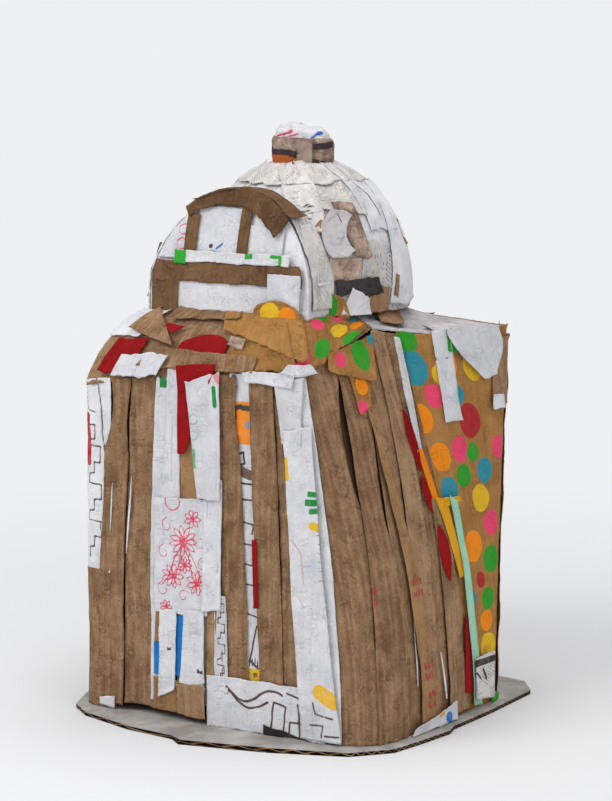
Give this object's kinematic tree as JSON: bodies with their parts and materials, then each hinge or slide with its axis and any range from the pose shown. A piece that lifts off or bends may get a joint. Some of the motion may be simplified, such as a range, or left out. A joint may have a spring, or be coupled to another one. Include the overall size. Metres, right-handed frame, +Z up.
{
  "type": "paper strip building sculpture",
  "caption": "Free-standing hollow model of a domed building, covered in pasted paper strips and standing on a sheet of corrugated board.",
  "frame": {"origin": "middle of the underside of the corrugated board", "axes": "+Z up, -Y out of the strip-covered front wall, +X out of the dotted right wing"},
  "size_m": [0.376, 0.34, 0.5612],
  "materials": {
    "corrugated_board": "grey-white liner on brown single-wall corrugated board",
    "carton": "plain brown carton behind the strips",
    "kraft_brown": "crumpled matt brown kraft paper",
    "kraft_light": "light tan kraft paper",
    "dotted_kraft": "light kraft paper printed with coloured dots",
    "white_paper": null,
    "newsprint": "wrinkled grey-white newsprint",
    "red_paper": "matt red paper",
    "mint_paper": "pale mint paper",
    "dark_print": "newsprint with solid dark print"
  },
  "bodies": {
    "root": {"base_board": "corrugated_board", "front_panel": "carton", "flank_panel": "carton", "recess_panel": "carton", "wing_panel": "carton", "back_panel": "carton", "left_panel": "carton", "roof_front": "kraft_brown", "roof_flank": "kraft_brown", "wing_roof": "newsprint", "roof_back": "kraft_brown", "roof_left": "kraft_brown", "vault_front_panel": "white_paper", "vault_shell": "newsprint", "vault_white_strips": "white_paper", "vault_brown_strips": "kraft_brown", "vault_cap_band": "kraft_brown", "dome_shell": "newsprint", "dome_rear_strips": "newsprint", "knob": "newsprint", "rear_strips": "kraft_brown", "hanging_flap": "dotted_kraft", "corner_fret_strip": "white_paper", "corner_brown_strip": "kraft_brown", "brown_strip_1": "kraft_brown", "brown_strip_2": "kraft_brown", "green_mark_strip": "white_paper", "white_strip": "white_paper", "red_tongue": "red_paper", "tan_tabs": "kraft_light", "ornament_panel": "white_paper", "brown_strip_3": "kraft_brown", "fret_strip": "white_paper", "brown_strip_4": "kraft_brown", "brown_strip_5": "kraft_brown", "arched_white_strip": "white_paper", "front_foot_paper": "white_paper", "side_brown_1": "kraft_brown", "side_brown_2": "kraft_brown", "side_brown_3": "kraft_brown", "side_brown_4": "kraft_light", "side_brown_5": "kraft_brown", "wing_white_strips": "white_paper", "colour_slivers": "red_paper", "mint_strip": "mint_paper", "polka_sheet": "dotted_kraft", "wing_brown_strip": "kraft_brown", "white_roof_ribbon": "white_paper", "white_eave_flap": "white_paper", "red_roof_patch": "red_paper", "red_arc_patch": "red_paper", "tan_roof_patch": "kraft_light", "polka_roof_sheet": "dotted_kraft", "wing_roof_flap": "white_paper", "dome_flap": "white_paper", "dome_strip_1": "white_paper", "dome_strip_2": "newsprint", "dome_brown_slips": "kraft_light", "dome_dark_piece": "dark_print", "dome_crown_wrap": "white_paper"}
  },
  "joints": []
}
